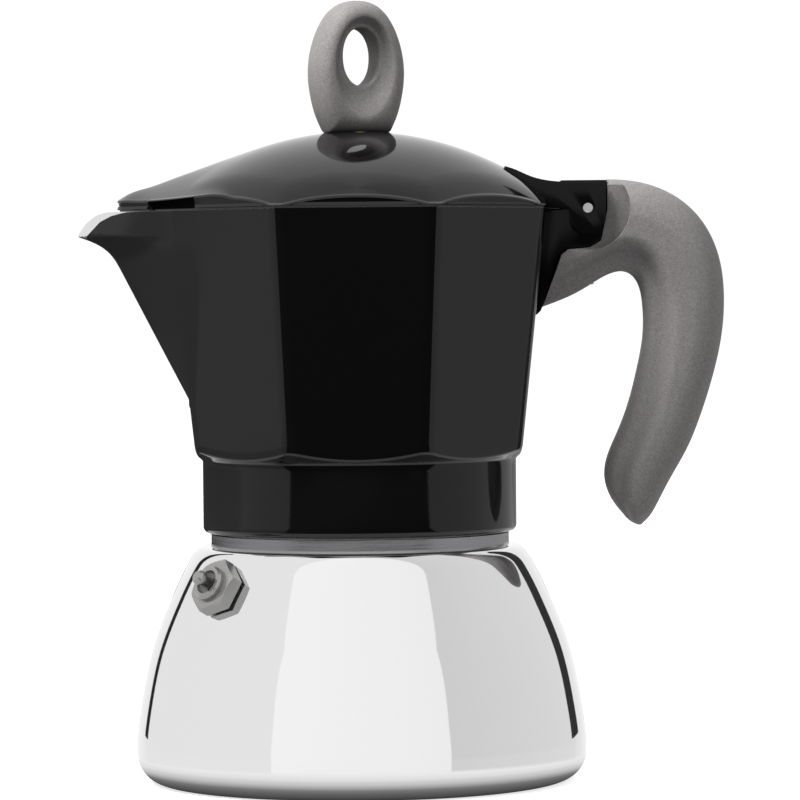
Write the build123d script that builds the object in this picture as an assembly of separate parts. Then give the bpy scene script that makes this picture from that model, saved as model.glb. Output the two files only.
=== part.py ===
from build123d import *
import math
import os

# Stovetop moka pot.  Millimetres, +Z up, origin at the centre of the boiler's underside.
# The spout points along -X, the handle along +X, and one flat of the octagon faces -Y.

# Boiler
BOILER_R = 55.0
FOOT_R = 7.2
SHELL_T = 0.9
LINER_T = 1.7
SHOULDER_Z = 57.9
NECK_RING_R = 36.4
NECK_RING_TOP = 60.6
NECK_CORE_R = 33.8
NECK_BORE_R = 30.5
NECK_TOP = 73.2
# Radius, height and the outward tilt of the wall in degrees, up the flank to the shoulder
FLANK = [(BOILER_R, FOOT_R, 0), (53.9, 19.0, 6), (50.7, 33.6, 17), (46.2, 45.2, 25), (42.2, 53.4, 30)]
SHOULDER_MID = (40.3, 56.3, 55)
SHOULDER_TOP = (37.4, SHOULDER_Z, 90)

# Screw thread between boiler and collector, right-handed
PITCH = 3.0
THREAD_TURNS = 4.0 / 3.0
MALE_START_Z = 64.0
FEMALE_START_Z = MALE_START_Z - PITCH / 2
MALE_CREST_R = 35.3
FEMALE_CREST_R = 34.4

# Safety valve: its axis leaves the shoulder of the boiler, front left
VALVE_AZIMUTH = 222.5
VALVE_TILT = 27.0
VALVE_R = 44.6
VALVE_Z = 48.6
VALVE_TAIL_R = 4.0
VALVE_BORE_R = 3.0
HEX_TURN = 20.0

# Coffee funnel, filter plate and gasket
BASKET_R = 27.8
BASKET_T = 0.8
FLANGE_R = 33.3
FLANGE_TOP = 74.0
STEM_BORE_R = 3.7
STEM_R = 4.6
FUNNEL_LOW = 8.0
PLATE_R = 29.2
PLATE_TOP = 74.8
GASKET_R = 34.0
SEAT_Z = 77.4

# Collector: round collar below, tapered octagon above
COLLAR_R = 38.3
COLLAR_LOW = 61.0
COLLAR_BORE_R = 35.9
BODY_LOW = 78.8
RIM_Z = 139.4
RIM_APOTHEM = 45.7
LOW_APOTHEM = 39.3
WALL = 2.3
CEILING_Z = 79.2
FLOOR_Z = 81.0
CORNER_R = 6.0
COLUMN_TOP = 125.0
COLUMN_BORE_R = 4.2
SPIGOT_R = 5.4
FLARE_Z = 122.9
TIP_Z = 133.4
TIP_X = -68.6
NOSE_R = 3.4

# Lid, its hinge and its knob
LID_APOTHEM = 45.8
DOME_R = 76.0
DOME_TOP = 158.6
LID_T = 1.8
PIN_X = 56.1
PIN_R = 1.18
PIN_HOLE_R = 1.25
CHEEK_Y = 7.8
SLOT_Y = 5.25
LUG_Y = 5.0
KNOB_SEAT_Z = 158.2
KNOB_TURN = 22.0
KNOB_T = 13.0

# Handle
HANDLE_Y = 9.5
HANDLE_SCREW_X = 54.5
HANDLE_SCREW_R = 1.75

UP = (Align.CENTER, Align.CENTER, Align.MIN)


def disc(radius, low, high):
    """Upright cylinder between two heights."""
    return Pos(0, 0, low) * Cylinder(radius, high - low, align=UP)


def turned(points):
    """Solid of revolution about Z from (radius, height) corners."""
    face = make_face(Polyline([(r, 0, z) for r, z in points], close=True))
    return revolve(face, axis=Axis.Z)


def slab(points, half_width):
    """Side-view polygon in (x, z), given an equal width either side of the XZ plane."""
    face = make_face(Polyline([(x, -half_width, z) for x, z in points], close=True))
    return extrude(face, amount=2 * half_width, dir=(0, 1, 0))


def octagon(apothem, corner_r, z):
    """Octagon with flats square to the X and Y axes and rounded corners."""
    radius = apothem / math.cos(math.radians(22.5))
    corners = [(radius * math.cos(math.radians(22.5 + 45 * k)),
                radius * math.sin(math.radians(22.5 + 45 * k))) for k in range(8)]
    sketch = Polygon(*corners, align=None)
    return Pos(0, 0, z) * fillet(sketch.vertices(), corner_r)


def octagon_prism(low_apothem, high_apothem, low, high, corner_r=CORNER_R):
    return loft([octagon(low_apothem, corner_r, low), octagon(high_apothem, corner_r, high)])


def across(point):
    """The same point on the other side of the XZ plane."""
    return Vector(point.X, -point.Y, point.Z)


def apothem_at(z):
    return LOW_APOTHEM + (RIM_APOTHEM - LOW_APOTHEM) * (z - BODY_LOW) / (RIM_Z - BODY_LOW)


def boiler_form(inset):
    """Closed form of the boiler below its shoulder, shrunk evenly by an inset."""
    def inner(point):
        r, z, tilt = point
        angle = math.radians(tilt)
        return Vector(r - inset * math.cos(angle), 0, z - inset * math.sin(angle))

    flank = [inner(point) for point in FLANK]
    top = inner(SHOULDER_TOP)
    foot_centre = BOILER_R - FOOT_R
    half = (FOOT_R - inset) / math.sqrt(2)
    edges = [
        Line((0, 0, inset), (foot_centre, 0, inset)),
        ThreePointArc((foot_centre, 0, inset), (foot_centre + half, 0, FOOT_R - half), flank[0]),
        Spline(flank, tangents=[(0, 0, 1), (-math.sin(math.radians(30)), 0, math.cos(math.radians(30)))]),
        ThreePointArc(flank[-1], inner(SHOULDER_MID), top),
        Line(top, (0, 0, top.Z)),
        Line((0, 0, top.Z), (0, 0, inset)),
    ]
    return revolve(make_face(Wire(edges)), axis=Axis.Z)


def helix_rib(radius, depth, root_width, crest_width, start_z):
    """Trapezoid thread rib wound on a cylinder; negative depth points inwards."""
    path = Pos(0, 0, start_z) * Helix(pitch=PITCH, height=PITCH * THREAD_TURNS, radius=radius)
    root = radius - math.copysign(0.25, depth)
    crest = radius + depth
    corners = [
        (root, 0, start_z - root_width / 2),
        (crest, 0, start_z - crest_width / 2),
        (crest, 0, start_z + crest_width / 2),
        (root, 0, start_z + root_width / 2),
    ]
    return sweep(make_face(Polyline(corners, close=True)), path=path, is_frenet=True)


def valve_plane():
    azimuth = math.radians(VALVE_AZIMUTH)
    tilt = math.radians(VALVE_TILT)
    axis = (math.cos(azimuth) * math.cos(tilt), math.sin(azimuth) * math.cos(tilt), math.sin(tilt))
    origin = (VALVE_R * math.cos(azimuth), VALVE_R * math.sin(azimuth), VALVE_Z)
    sideways = (-math.sin(azimuth), math.cos(azimuth), 0)
    return Plane(origin=origin, x_dir=sideways, z_dir=axis)


def on_valve(shape):
    """Put a shape built on +Z at the valve, with height 0 on the boiler's wall."""
    return valve_plane().location * shape


def hex_prism(across_flats, low, high):
    sketch = RegularPolygon(across_flats / 2, 6, major_radius=False, rotation=HEX_TURN)
    return Pos(0, 0, low) * extrude(sketch, high - low)


def ring_holes(radii_counts, hole_r, low, high):
    """Pins to cut a perforated sheet with: rings of equal holes."""
    holes = []
    for radius, count in radii_counts:
        for k in range(count):
            angle = 2 * math.pi * k / count
            holes.append(Pos(radius * math.cos(angle), radius * math.sin(angle), 0)
                         * disc(hole_r, low, high))
    return holes


# ---------------------------------------------------------------- boiler

def boiler_shell():
    """Polished steel cup, open at the neck, with the valve's hole."""
    shell = boiler_form(0) - boiler_form(SHELL_T)
    shell -= disc(NECK_RING_R, SHOULDER_Z - 3, SHOULDER_Z + 3)
    return shell - on_valve(disc(VALVE_TAIL_R, -6, 4))


def boiler_liner():
    """Aluminium lining with the threaded neck that the collector screws on to."""
    liner = boiler_form(SHELL_T)
    liner += disc(NECK_RING_R, 54, NECK_RING_TOP)
    neck = turned([(0, 54), (NECK_CORE_R, 54), (NECK_CORE_R, NECK_TOP - 0.6),
                   (NECK_CORE_R - 0.6, NECK_TOP), (0, NECK_TOP)])
    liner += neck
    liner += helix_rib(NECK_CORE_R, MALE_CREST_R - NECK_CORE_R, 1.9, 0.8, MALE_START_Z)
    liner -= boiler_form(SHELL_T + LINER_T)
    liner -= disc(NECK_BORE_R, 40, NECK_TOP + 1)
    liner -= on_valve(disc(7.0, -8, -2.3))
    return liner - on_valve(disc(VALVE_TAIL_R, -6, 4))


def valve_body():
    """Hexagon-headed brass body: seat at its inner end, boss outside."""
    body = hex_prism(12.0, 0.3, 3.8)
    crown = turned([(0, -1), (7.0, -1), (7.0, 3.2), (5.9, 3.8), (0, 3.8)])
    body = body & crown
    body += turned([(0, 3.5), (4.3, 3.5), (4.3, 4.7), (3.8, 5.3), (0, 5.3)])
    body += disc(VALVE_TAIL_R, -9.0, 1.0)
    body -= disc(VALVE_BORE_R, -7.0, 6.0)
    body -= disc(1.5, -10.0, -6.5)
    return on_valve(body)


def valve_washer():
    """Dark sealing washer squeezed to the curve of the wall."""
    washer = on_valve(disc(5.4, -1.0, 0.3) - disc(VALVE_TAIL_R, -2, 1))
    return washer - boiler_form(0)


def valve_nut():
    nut = hex_prism(11.0, -4.6, -2.3) - disc(VALVE_TAIL_R, -6, 0)
    return on_valve(nut)


def valve_retainer():
    """Ring pressed into the boss; the spring pushes against it."""
    return on_valve(disc(VALVE_BORE_R, 2.2, 3.1) - disc(1.75, 1, 4))


def valve_spring():
    coil_r = 2.2
    wire_r = 0.32
    path = Pos(0, 0, -4.6) * Helix(pitch=1.4, height=6.4, radius=coil_r)
    profile = Plane(origin=path @ 0, z_dir=path % 0) * Circle(wire_r)
    return on_valve(sweep(profile, path=path, is_frenet=True))


def valve_stem():
    """Plug flange, rod and the round head that shows outside."""
    stem = turned([(0, -6), (2.6, -6), (2.6, -5), (1.3, -5), (1.3, 7.1), (1.75, 7.4),
                   (1.75, 8.2), (1.2, 8.8), (0, 8.8)])
    return on_valve(stem)


def valve_seal():
    return on_valve(disc(2.6, -7.0, -6.0))


# ---------------------------------------------------------------- coffee side

def funnel():
    """Basket with a flange that hangs on the neck, and the stem that drinks the water."""
    outer = BASKET_R + BASKET_T
    cup = turned([
        (STEM_BORE_R, FUNNEL_LOW), (STEM_R, FUNNEL_LOW), (STEM_R, 40.4), (27.2, 50.0),
        (outer, 52.0), (outer, NECK_TOP), (FLANGE_R, NECK_TOP), (FLANGE_R, FLANGE_TOP),
        (BASKET_R, FLANGE_TOP), (BASKET_R, 51.4), (26.4, 51.4), (26.4, 50.8),
        (STEM_BORE_R, 41.4),
    ])
    return cup


def funnel_screen():
    rings = [(0, 1), (4.2, 6), (8.4, 12), (12.6, 18), (16.8, 24)]
    screen = disc(BASKET_R, 51.4, 52.0)
    return screen - ring_holes(rings, 0.7, 51, 53)


def filter_plate():
    rings = [(0, 1), (4.0, 6), (8.0, 12), (12.0, 18), (16.0, 24), (20.0, 30)]
    plate = disc(PLATE_R, FLANGE_TOP, PLATE_TOP)
    return plate - ring_holes(rings, 0.6, 73, 76)


def gasket():
    """Rubber ring with a rebate under it for the filter plate."""
    ring = disc(GASKET_R, FLANGE_TOP, SEAT_Z) - disc(27.3, 73, 79)
    return ring - disc(PLATE_R + 0.2, 73, PLATE_TOP + 0.3)


# ---------------------------------------------------------------- collector

def keel_x(z):
    """Spout's front edge: straight, then flaring out to the pouring tip."""
    straight = -56.8 - 0.5175 * (z - FLARE_Z)
    if z <= FLARE_Z:
        return straight
    if z >= TIP_Z:
        return TIP_X
    share = (z - FLARE_Z) / (TIP_Z - FLARE_Z)
    at_tip = -56.8 - 0.5175 * (TIP_Z - FLARE_Z)
    return straight + (TIP_X - at_tip) * share ** 4.8


def spout_section(z, inset):
    """V-shaped plan of the spout at one height, with a rounded front edge."""
    share = (z - 94.0) / (RIM_Z - 94.0)
    rear = Vector(-40.8 + 3.3 * share, 16.9 + 10.7 * share, z)
    apex = Vector(keel_x(z), 0, z)
    half_angle = math.atan2(rear.Y, rear.X - apex.X)
    apex -= Vector(NOSE_R * (1 / math.sin(half_angle) - 1), 0, 0)
    along = (rear - apex).normalized()
    half_angle = math.atan2(along.Y, along.X)
    apex += Vector(inset / math.sin(half_angle), 0, 0)
    rear += Vector(inset * along.Y, -inset * along.X, 0) + along * inset
    nose_r = NOSE_R - 0.9 * inset
    touch = apex + along * (nose_r / math.tan(half_angle))
    front = Vector(apex.X + nose_r / math.sin(half_angle) - nose_r, 0, z)
    back = Vector(-26.0, rear.Y - 8.0, z)
    edges = [
        Line(back, rear),
        Line(rear, touch),
        ThreePointArc(touch, front, across(touch)),
        Line(across(touch), across(rear)),
        Line(across(rear), across(back)),
        Line(across(back), back),
    ]
    return make_face(Wire(edges))


def spout_form(inset, low, high):
    steps = 12
    flare = [FLARE_Z + (TIP_Z - FLARE_Z) * math.sin(0.5 * math.pi * k / steps) for k in range(1, steps + 1)]
    heights = [low, 104.0, 114.0, FLARE_Z] + flare + [high]
    return loft([spout_section(z, inset) for z in heights], ruled=True)


def lug_form():
    """Hinge lug and the gusset that ties it to the wall."""
    return slab([(43.9, RIM_Z - 0.1), (49.4, RIM_Z - 0.1), (49.4, 146.2), (60.9, 146.2),
                 (60.9, 139.0), (59.4, 131.5), (56.5, 129.8), (51.3, 129.4), (49.5, 128.1),
                 (45.6, 117.0), (44.5, 114.4), (43.4, 113.4), (42.0, 113.4)], LUG_Y)


def collector_body():
    """Cast upper vessel: collar, octagonal wall, spout and hinge lug."""
    body = octagon_prism(LOW_APOTHEM, RIM_APOTHEM, BODY_LOW, RIM_Z)
    body += spout_form(0, 93.0, RIM_Z)
    over_cone = turned([(0, BODY_LOW), (COLLAR_R, BODY_LOW), (70, BODY_LOW + 0.6 * (70 - COLLAR_R)),
                        (70, 150), (0, 150)])
    body = body & over_cone
    collar = turned([(0, COLLAR_LOW), (COLLAR_R - 1.6, COLLAR_LOW), (COLLAR_R - 0.5, COLLAR_LOW + 0.5),
                     (COLLAR_R, COLLAR_LOW + 1.6), (COLLAR_R, FLOOR_Z), (0, FLOOR_Z)])
    body += collar
    body += lug_form()
    cavity = octagon_prism(apothem_at(FLOOR_Z) - WALL, apothem_at(RIM_Z + 4) - WALL, FLOOR_Z, RIM_Z + 4)
    cavity += spout_form(WALL, 94.0, RIM_Z + 0.5)
    body -= cavity
    body -= lip_trim()
    body -= turned([(0, COLLAR_LOW - 1), (COLLAR_BORE_R, COLLAR_LOW - 1), (COLLAR_BORE_R, 72.4),
                    (GASKET_R + 0.2, 73.4), (GASKET_R + 0.2, SEAT_Z), (27.0, SEAT_Z),
                    (SPIGOT_R, CEILING_Z), (SPIGOT_R, FLOOR_Z + 1), (0, FLOOR_Z + 1)])
    body += helix_rib(COLLAR_BORE_R, FEMALE_CREST_R - COLLAR_BORE_R, 1.7, 0.7, FEMALE_START_Z)
    body -= Pos(PIN_X, 0, RIM_Z) * Rot(90, 0, 0) * Cylinder(PIN_R, 30)
    return body - Pos(HANDLE_SCREW_X, 0, 0) * disc(HANDLE_SCREW_R, 120, 136.0)


def lip_trim():
    """Space above the sloping pouring lip."""
    return slab([(-60.8, RIM_Z + 0.01), (-60.8, 150), (-85, 150), (-85, 120), (TIP_X, TIP_Z - 0.2),
                 (-67.6, 135.2), (-66.1, 137.1), (-63.9, 138.6)], 40)


def coffee_column():
    """Tube pressed into the floor, closed on top, with two windows for the coffee."""
    column = turned([(0, CEILING_Z), (SPIGOT_R, CEILING_Z), (SPIGOT_R, FLOOR_Z), (11, FLOOR_Z),
                     (11, FLOOR_Z + 0.8), (9, FLOOR_Z + 2.4), (6, COLUMN_TOP - 2),
                     (4.5, COLUMN_TOP), (0, COLUMN_TOP)])
    column -= disc(COLUMN_BORE_R, SEAT_Z, COLUMN_TOP - 4)
    return column - Pos(0, 0, COLUMN_TOP - 9) * Box(20, 3.2, 7)


def hinge_pin():
    pin = Cylinder(PIN_R, 2 * CHEEK_Y - 0.6)
    return Pos(PIN_X, 0, RIM_Z) * Rot(90, 0, 0) * pin


# ---------------------------------------------------------------- handle

def handle_section(inner, outer, half_width):
    """Section of the grip: narrow inside face, a crease, then a rounded back."""
    low = Vector(inner[0], 0, inner[1])
    span = Vector(outer[0], 0, outer[1]) - low
    width = span.length
    step = span.normalized()
    crease = min(6.0, 0.36 * width)

    def at(u, v):
        return low + step * u + Vector(0, v, 0)

    face_v = 0.42 * half_width
    edges = [
        Line(at(0, -face_v), at(0, face_v)),
        Line(at(0, face_v), at(crease, half_width)),
        Spline([at(crease, half_width), at(0.72 * width, 0.86 * half_width),
                at(0.94 * width, 0.52 * half_width), at(width, 0),
                at(0.94 * width, -0.52 * half_width), at(0.72 * width, -0.86 * half_width),
                at(crease, -half_width)]),
        Line(at(crease, -half_width), at(0, -face_v)),
    ]
    return make_face(Wire(edges))


def handle():
    """Grey grip: block under the hinge lug, arch, and a tail curling inwards."""
    stations = [
        ((43.5, 114.9), (44.0, 146.2), HANDLE_Y),
        ((54.4, 119.4), (56.5, 146.3), HANDLE_Y),
        ((60.4, 122.9), (64.5, 146.3), HANDLE_Y),
        ((64.4, 123.9), (71.6, 145.0), HANDLE_Y),
        ((67.3, 122.5), (78.8, 141.5), HANDLE_Y),
        ((68.8, 119.6), (84.4, 135.9), HANDLE_Y),
        ((69.4, 116.0), (88.2, 127.8), HANDLE_Y),
        ((69.6, 111.6), (89.5, 117.6), HANDLE_Y),
        ((69.2, 106.4), (88.8, 108.0), HANDLE_Y),
        ((67.9, 100.0), (86.6, 98.2), HANDLE_Y),
        ((65.9, 92.3), (83.6, 88.8), HANDLE_Y),
        ((62.9, 84.4), (80.0, 80.2), HANDLE_Y),
        ((60.2, 77.6), (75.9, 73.0), 9.3),
        ((59.9, 73.2), (73.6, 68.7), 8.8),
        ((61.6, 68.3), (71.3, 64.6), 7.4),
        ((64.6, 64.3), (69.2, 62.3), 4.0),
    ]
    grip = loft([handle_section(*station) for station in stations])
    grip -= slab([(51.3, 129.4), (56.5, 129.8), (59.4, 131.5), (60.9, 139.0), (60.9, 150),
                  (30, 150), (30, 110), (42.0, 108.0), (45.3, 115.4)], 20)
    scoop = Pos(PIN_X, 0, RIM_Z) * Rot(90, 0, 0) * Cylinder(10.3, 40)
    scoop -= Pos(PIN_X, 0, RIM_Z) * Box(30, 2 * LUG_Y + 0.2, 30)
    grip -= scoop
    grip -= Pos(HANDLE_SCREW_X, 0, 0) * disc(3.4, 110, 123.0)
    return grip - Pos(HANDLE_SCREW_X, 0, 0) * disc(HANDLE_SCREW_R + 0.1, 120, 132)


def handle_screw():
    screw = disc(3.2, 120.8, 123.0) + disc(HANDLE_SCREW_R, 122, 136.0)
    screw -= Pos(0, 0, 120.8) * Box(1.0, 5.0, 2.4)
    screw -= Pos(0, 0, 120.8) * Box(5.0, 1.0, 2.4)
    return Pos(HANDLE_SCREW_X, 0, 0) * screw


# ---------------------------------------------------------------- lid

def beak_section(x, half_width, skirt_z, ridge_z, roundness, low):
    """Rounded gable across the lid's beak: roundness 1 follows the dome, 0 is a sharp ridge."""
    drop = ridge_z - skirt_z
    top = []
    for share in (-1.0, -0.66, -0.33, -0.12, 0.0, 0.12, 0.33, 0.66, 1.0):
        gable = math.sqrt(share * share + 0.012) - 0.1095
        fall = roundness * share * share + (1 - roundness) * gable / 0.8965
        top.append((x, share * half_width, ridge_z - drop * fall))
    edges = [
        Line((x, half_width, low), (x, -half_width, low)),
        Line((x, -half_width, low), top[0]),
        Spline(top),
        Line(top[-1], (x, half_width, low)),
    ]
    return make_face(Wire(edges))


def beak(inset, low):
    """Roof over the spout, from under the dome to a blunt nose."""
    shapes = [(-22.0, 34.0, 146.4, 155.2, 1.0), (-30.0, 33.0, 143.6, 152.75, 0.8),
              (-39.0, 25.6, 141.9, 149.6, 0.35), (-45.5, 18.2, 141.2, 147.3, 0.2),
              (-51.0, 11.8, 140.8, 145.3, 0.2), (-56.0, 6.8, 140.5, 143.3, 0.3),
              (-59.4, 3.2, 140.3, 141.5, 0.5), (-60.6, 1.4, 140.1, 140.6, 0.6)]
    if inset:
        shapes = [(x + inset, w - 0.6 * inset, s - inset, r - inset, n) for x, w, s, r, n in shapes[:-2]]
    return loft([beak_section(x, w, max(s, low + 0.2), max(r, low + 0.4), n, low)
                 for x, w, s, r, n in shapes])


def hinge_arm():
    """Arm from the dome that forks either side of the lug."""
    arm = slab([(34, 141), (34, 150.4), (38.2, 149.0), (42.0, 147.3), (45.5, 146.3), (49.0, 145.8),
                (58.9, 145.6), (59.9, 145.2), (60.4, 144.2), (60.4, 137.3), (51.8, 137.3),
                (51.4, 139.6), (45.0, 139.6)], CHEEK_Y)
    arm += Pos(56.1, 0, 137.3) * Rot(90, 0, 0) * Cylinder(4.35, 2 * CHEEK_Y)
    return arm - Pos(46.2, 0, 125) * Box(30, 2 * SLOT_Y, 30, align=(Align.MIN, Align.CENTER, Align.MIN))


def lid():
    """Domed octagonal lid with a beak over the spout and the hinge fork."""
    centre = Pos(0, 0, DOME_TOP - DOME_R)
    shell = octagon_prism(LID_APOTHEM, LID_APOTHEM, RIM_Z, 165) & (centre * Sphere(DOME_R))
    shell += beak(0, RIM_Z)
    shell += hinge_arm()
    hollow = octagon_prism(LID_APOTHEM - 1.9, LID_APOTHEM - 1.9, RIM_Z - 1, 165, 4.5)
    hollow = hollow & (centre * Sphere(DOME_R - LID_T))
    hollow += beak(1.7, RIM_Z - 0.5)
    shell -= hollow
    shell -= disc(9.0, KNOB_SEAT_Z, 165)
    shell += disc(5.0, 156.0, 157.6) - disc(2.2, 150, 160)
    shell -= disc(2.2, 150, 160)
    for side in (-1, 1):
        ear = Pos(PIN_X, side * (CHEEK_Y - 0.3), RIM_Z) * Rot(90, 0, 0) * Cylinder(1.68, 0.6)
        shell -= ear
    return shell - Pos(PIN_X, 0, RIM_Z) * Rot(90, 0, 0) * Cylinder(PIN_HOLE_R, 30)


def knob():
    """Egg-shaped ring standing on the lid, with dished faces and an eye through it."""
    right = [(8.1, KNOB_SEAT_Z), (9.9, 161.6), (11.4, 166.5), (12.1, 171.4), (11.8, 176.3),
             (10.5, 181.2), (8.2, 186.1), (5.2, 189.1)]
    line = [(x, 0, z) for x, z in right] + [(0, 0, 190.5)] + [(-x, 0, z) for x, z in reversed(right)]
    outline = make_face(Wire([Spline(line), Line(line[-1], line[0])]))
    ring = extrude(outline, amount=KNOB_T / 2, dir=(0, 1, 0), both=True)
    ring = fillet(ring.edges().filter_by(GeomType.BSPLINE), 4.2)
    for side in (-1, 1):
        dish = scale(Sphere(1), by=(8.0, 2.5, 12.75))
        ring -= Pos(0, side * KNOB_T / 2, 174.2) * dish
    eye = Plane.XZ * Ellipse(4.8, 7.15)
    ring -= Pos(0, 0, 176.7) * extrude(eye, amount=20, both=True)
    ring -= disc(3.2, KNOB_SEAT_Z - 1, 166.2)
    return Rot(0, 0, KNOB_TURN) * ring


def knob_insert():
    return disc(3.2, KNOB_SEAT_Z, 165.6) - disc(2.0, 150, 164.8)


def knob_washer():
    return disc(4.6, 155.3, 156.0) - disc(2.15, 150, 160)


def knob_screw():
    screw = disc(2.0, 154.0, 164.0) + turned([(0, 152.9), (2.4, 152.9), (3.7, 153.9), (3.7, 155.3), (0, 155.3)])
    screw -= Pos(0, 0, 152.9) * Box(1.0, 4.6, 2.4)
    return screw - Pos(0, 0, 152.9) * Box(4.6, 1.0, 2.4)


for name, make in [
    ("boiler_shell", boiler_shell), ("boiler_liner", boiler_liner), ("valve_body", valve_body),
    ("valve_washer", valve_washer), ("valve_nut", valve_nut), ("valve_retainer", valve_retainer),
    ("valve_spring", valve_spring), ("valve_stem", valve_stem), ("valve_seal", valve_seal),
    ("funnel", funnel), ("funnel_screen", funnel_screen), ("filter_plate", filter_plate),
    ("gasket", gasket), ("collector_body", collector_body), ("coffee_column", coffee_column), ("hinge_pin", hinge_pin),
    ("handle", handle), ("handle_screw", handle_screw), ("lid", lid), ("knob", knob),
    ("knob_insert", knob_insert), ("knob_washer", knob_washer), ("knob_screw", knob_screw),
]:
    export_step(make(), "parts/" + name + ".step")
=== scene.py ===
"""Moka pot: outer shapes, finishes and studio. Metres, +Z up, in the part's own frame."""
import math

import bmesh
import bpy
import numpy as np
from mathutils import Matrix, Vector


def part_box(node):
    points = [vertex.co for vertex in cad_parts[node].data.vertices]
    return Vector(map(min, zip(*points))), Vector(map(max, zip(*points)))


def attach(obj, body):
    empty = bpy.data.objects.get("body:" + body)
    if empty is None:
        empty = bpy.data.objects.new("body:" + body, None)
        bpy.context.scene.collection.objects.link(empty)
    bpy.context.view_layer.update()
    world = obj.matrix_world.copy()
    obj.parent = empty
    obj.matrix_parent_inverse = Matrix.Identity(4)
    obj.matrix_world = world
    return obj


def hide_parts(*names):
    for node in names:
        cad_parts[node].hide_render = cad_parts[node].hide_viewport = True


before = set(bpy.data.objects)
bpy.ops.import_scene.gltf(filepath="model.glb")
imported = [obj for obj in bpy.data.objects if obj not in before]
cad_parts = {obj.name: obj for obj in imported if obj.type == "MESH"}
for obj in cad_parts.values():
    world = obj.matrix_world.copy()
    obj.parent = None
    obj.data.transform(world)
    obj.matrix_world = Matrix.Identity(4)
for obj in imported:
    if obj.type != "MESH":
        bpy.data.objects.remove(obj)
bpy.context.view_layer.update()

MM = 0.001
# Points round the axis on the skins of the collector and the lid.
ROUND = 1024


def corner(node, side, axis):
    """One coordinate of a CAD node's box, in millimetres. side is 0 for low and 1 for high."""
    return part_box(node)[side][axis] / MM


# ---------------------------------------------------------------- driving sizes, millimetres

BASE_R = corner("boiler_shell", 1, 0)
SHOULDER_Z = corner("boiler_shell", 1, 2)
NECK_RING_R = 36.4
FOOT_R = 7.2
SHELL_WALL = 0.9
VALVE_AZIMUTH = 222.5
VALVE_TILT = 27
VALVE_REACH = 44.6
VALVE_Z = 48.6
VALVE_HOLE_R = 4.0
COLLAR_R = 38.3
COLLAR_LOW = corner("collector_body", 0, 2)
COLLAR_BORE_R = 35.9
SEAT_Z = corner("gasket", 1, 2)
GASKET_R = corner("gasket", 1, 0)
BODY_LOW = 78.8
CEILING_Z = 79.2
FLOOR_Z = 81.0
SPIGOT_R = 5.4
RIM_Z = corner("lid", 0, 2) + 6.45
LOW_APOTHEM = 39.3
RIM_APOTHEM = 45.7
CORNER_R = 6.0
WALL = 2.3
SPOUT_ROOT_Z = 91.75
KEEL_X = 56.8
KEEL_SLOPE = 0.5175
REAR_X = 40.8
REAR_DRAW = 3.3
REAR_FROM_Z = 94.0
LIP_ROLL_X = -60.3
FLARE_Z = 122.9
TIP_Z = 133.4
NOSE_R = 3.4
TIP_X = corner("collector_body", 0, 0)
COLUMN_TOP = 125.0
COLUMN_BORE_R = 4.2
LID_APOTHEM = corner("lid", 1, 1)
DOME_R = 76.0
DOME_TOP = 158.6
PIN_X = 56.1
PIN_Z = RIM_Z
CHEEK_Y = 7.8
SLOT_Y = 5.25
LUG_Y = 5.0
SCOOP_R = 10.3
SCREW_RECESS_R = 3.4
KNOB_LOW = corner("knob", 0, 2)
KNOB_TOP = corner("knob", 1, 2)
KNOB_TURN = 22.0
KNOB_T = 13.0
EYE_Z = 176.7
EYE_HALF = (4.75, 7.1)
DISH_Z = 174.1
DISH_HALF = (7.9, 12.4)
HANDLE_Y = 9.5


# ---------------------------------------------------------------- mesh helpers

def through(points, count):
    """Evenly spread samples on a natural cubic spline through the points."""
    p = np.asarray(points, dtype=float)
    t = np.concatenate([[0], np.cumsum(np.linalg.norm(np.diff(p, axis=0), axis=1))])
    n = len(p)
    h = np.diff(t)
    system = np.eye(n)
    right = np.zeros_like(p)
    for k in range(1, n - 1):
        system[k, k - 1:k + 2] = (h[k - 1], 2 * (h[k - 1] + h[k]), h[k])
        right[k] = 6 * ((p[k + 1] - p[k]) / h[k] - (p[k] - p[k - 1]) / h[k - 1])
    bend = np.linalg.solve(system, right)
    u = np.linspace(0, t[-1], count)
    k = np.clip(np.searchsorted(t, u, side="right") - 1, 0, n - 2)
    a = ((t[k + 1] - u) / h[k])[:, None]
    b = ((u - t[k]) / h[k])[:, None]
    sixth = (h[k] ** 2 / 6)[:, None]
    return a * p[k] + b * p[k + 1] + sixth * ((a ** 3 - a) * bend[k] + (b ** 3 - b) * bend[k + 1])


def arc(centre, radius, start, end, count):
    """Points on a circle in the profile plane, angles in degrees."""
    angles = np.radians(np.linspace(start, end, count))
    return np.stack([centre[0] + radius * np.cos(angles), centre[1] + radius * np.sin(angles)], axis=1)


def link(name, vertices, faces, smooth=True):
    """New object from points in metres."""
    mesh = bpy.data.meshes.new(name)
    mesh.from_pydata([tuple(v) for v in vertices], [], faces)
    mesh.validate()
    mesh.update()
    obj = bpy.data.objects.new(name, mesh)
    bpy.context.scene.collection.objects.link(obj)
    if smooth:
        mesh.polygons.foreach_set("use_smooth", [True] * len(mesh.polygons))
    return obj


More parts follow.
